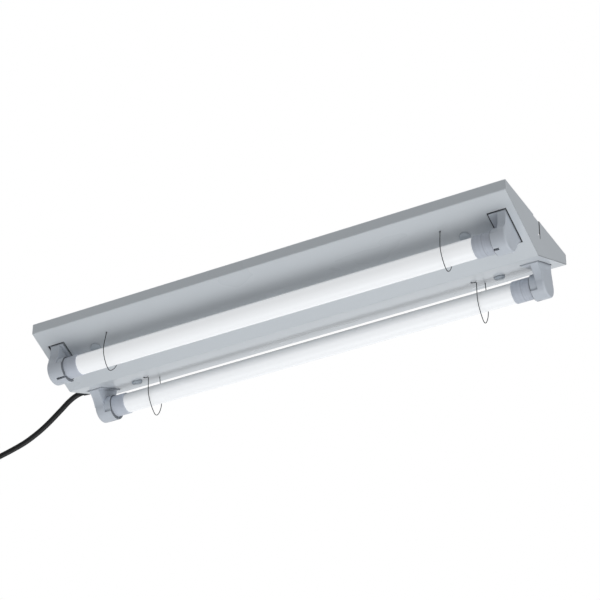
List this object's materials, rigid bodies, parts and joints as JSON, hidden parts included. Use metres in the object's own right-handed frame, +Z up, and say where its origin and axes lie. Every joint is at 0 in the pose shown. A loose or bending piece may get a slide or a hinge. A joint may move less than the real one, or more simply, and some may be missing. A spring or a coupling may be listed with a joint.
{
  "type": "hanging shop light",
  "caption": "Shop light with a V-shaped white sheet-steel reflector, tube lamps in twist-lock holders, wire lamp guards and a black mains cord that leaves at one end.",
  "frame": {"origin": "middle of the top face of the inner channel, the face that lies against the ceiling", "axes": "+X along the lamps towards the end without the cord, +Y towards the lamp farther from the viewer in the picture, +Z up"},
  "size_m": [0.8511, 0.174, 0.2485],
  "materials": {
    "reflector_paint": "gloss white",
    "end_plate_paint": "gloss white",
    "galvanised": "galvanised",
    "saddle_steel": "satin black",
    "zinc": "zinc plated",
    "lead_insulation": "smooth",
    "holder_plastic": "satin",
    "rotor_plastic": "satin",
    "contact_brass": "bright",
    "tube_opal": "opal",
    "cap_plastic": "satin",
    "pin_brass": "bright",
    "board": "white solder mask",
    "chip": "smooth",
    "driver_board": "solder mask",
    "wire_steel": "plain wire",
    "knob_plastic": "satin",
    "terminal_plastic": "satin",
    "bush_rubber": "satin",
    "cord_rubber": "satin",
    "tie_plastic": "satin",
    "plug_plastic": "satin",
    "blade_brass": "bright"
  },
  "bodies": {
    "fixture": {"reflector": "reflector_paint", "end_plate_left": "end_plate_paint", "end_plate_right": "end_plate_paint", "chassis": "galvanised", "saddle_left": "saddle_steel", "saddle_right": "saddle_steel", "saddle_rivets": "zinc", "holder_1_left": "holder_plastic", "holder_1_right": "holder_plastic", "holder_2_left": "holder_plastic", "holder_2_right": "holder_plastic", "contacts_1_left": "contact_brass", "contacts_1_right": "contact_brass", "contacts_2_left": "contact_brass", "contacts_2_right": "contact_brass", "holder_screws": "zinc", "terminal_block": "terminal_plastic", "terminal_screws": "zinc", "earth_screw": "zinc", "holder_leads": "lead_insulation", "cord_bush": "bush_rubber", "inner_lead": "cord_rubber", "cord_clamp": "zinc", "clamp_screw": "zinc", "mains_cord": "cord_rubber", "cord_coil": "cord_rubber", "coil_tie": "tie_plastic", "plug_body": "plug_plastic", "plug_blades": "blade_brass"},
    "lamp_1": {"lamp_1_tube": "tube_opal", "lamp_1_cap_left": "cap_plastic", "lamp_1_cap_right": "cap_plastic", "lamp_1_pins": "pin_brass", "lamp_1_led_board": "board", "lamp_1_led_chips": "chip", "lamp_1_driver": "driver_board", "rotor_1_left": "rotor_plastic", "rotor_1_right": "rotor_plastic"},
    "lamp_2": {"lamp_2_tube": "tube_opal", "lamp_2_cap_left": "cap_plastic", "lamp_2_cap_right": "cap_plastic", "lamp_2_pins": "pin_brass", "lamp_2_led_board": "board", "lamp_2_led_chips": "chip", "lamp_2_driver": "driver_board", "rotor_2_left": "rotor_plastic", "rotor_2_right": "rotor_plastic"},
    "wire_1_left": {"guard_wire_1_left": "wire_steel"},
    "lock_1_left": {"knob_1_left": "knob_plastic"},
    "wire_1_right": {"guard_wire_1_right": "wire_steel"},
    "lock_1_right": {"knob_1_right": "knob_plastic"},
    "wire_2_left": {"guard_wire_2_left": "wire_steel"},
    "lock_2_left": {"knob_2_left": "knob_plastic"},
    "wire_2_right": {"guard_wire_2_right": "wire_steel"},
    "lock_2_right": {"knob_2_right": "knob_plastic"}
  },
  "joints": [
    {"name": "lamp_1_twist", "type": "hinge", "parent": "fixture", "child": "lamp_1", "pos_m": [0, -0.05341, -0.05615], "axis": [-1, 0, 0], "range_deg": [0, 90]},
    {"name": "lamp_2_twist", "type": "hinge", "parent": "fixture", "child": "lamp_2", "pos_m": [0, 0.05341, -0.05615], "axis": [1, 0, 0], "range_deg": [0, 90]},
    {"name": "wire_1_left_swing", "type": "hinge", "parent": "fixture", "child": "wire_1_left", "pos_m": [-0.22, -0.03459, -0.03726], "axis": [-0.2189, -0.8923, 0.3949], "range_deg": [-7.5, 8.5]},
    {"name": "wire_1_right_swing", "type": "hinge", "parent": "fixture", "child": "wire_1_right", "pos_m": [0.233, -0.03459, -0.03726], "axis": [-0.2189, -0.8923, 0.3949], "range_deg": [-7.5, 8.5]},
    {"name": "wire_2_left_swing", "type": "hinge", "parent": "fixture", "child": "wire_2_left", "pos_m": [-0.233, 0.03459, -0.03726], "axis": [0.2189, 0.8923, 0.3949], "range_deg": [-3.2, 12.8]},
    {"name": "wire_2_right_swing", "type": "hinge", "parent": "fixture", "child": "wire_2_right", "pos_m": [0.22, 0.03459, -0.03726], "axis": [0.2189, 0.8923, 0.3949], "range_deg": [-3.2, 12.8]},
    {"name": "lock_1_left_turn", "type": "hinge", "parent": "fixture", "child": "lock_1_left", "pos_m": [-0.251, -0.04661, -0.03237], "axis": [0, -0.4047, -0.9145], "range_deg": [0, 90]},
    {"name": "lock_1_right_turn", "type": "hinge", "parent": "fixture", "child": "lock_1_right", "pos_m": [0.251, -0.04661, -0.03237], "axis": [0, -0.4047, -0.9145], "range_deg": [0, 90]},
    {"name": "lock_2_left_turn", "type": "hinge", "parent": "fixture", "child": "lock_2_left", "pos_m": [-0.251, 0.04661, -0.03237], "axis": [0, 0.4047, -0.9145], "range_deg": [0, 90]},
    {"name": "lock_2_right_turn", "type": "hinge", "parent": "fixture", "child": "lock_2_right", "pos_m": [0.251, 0.04661, -0.03237], "axis": [0, 0.4047, -0.9145], "range_deg": [0, 90]}
  ]
}
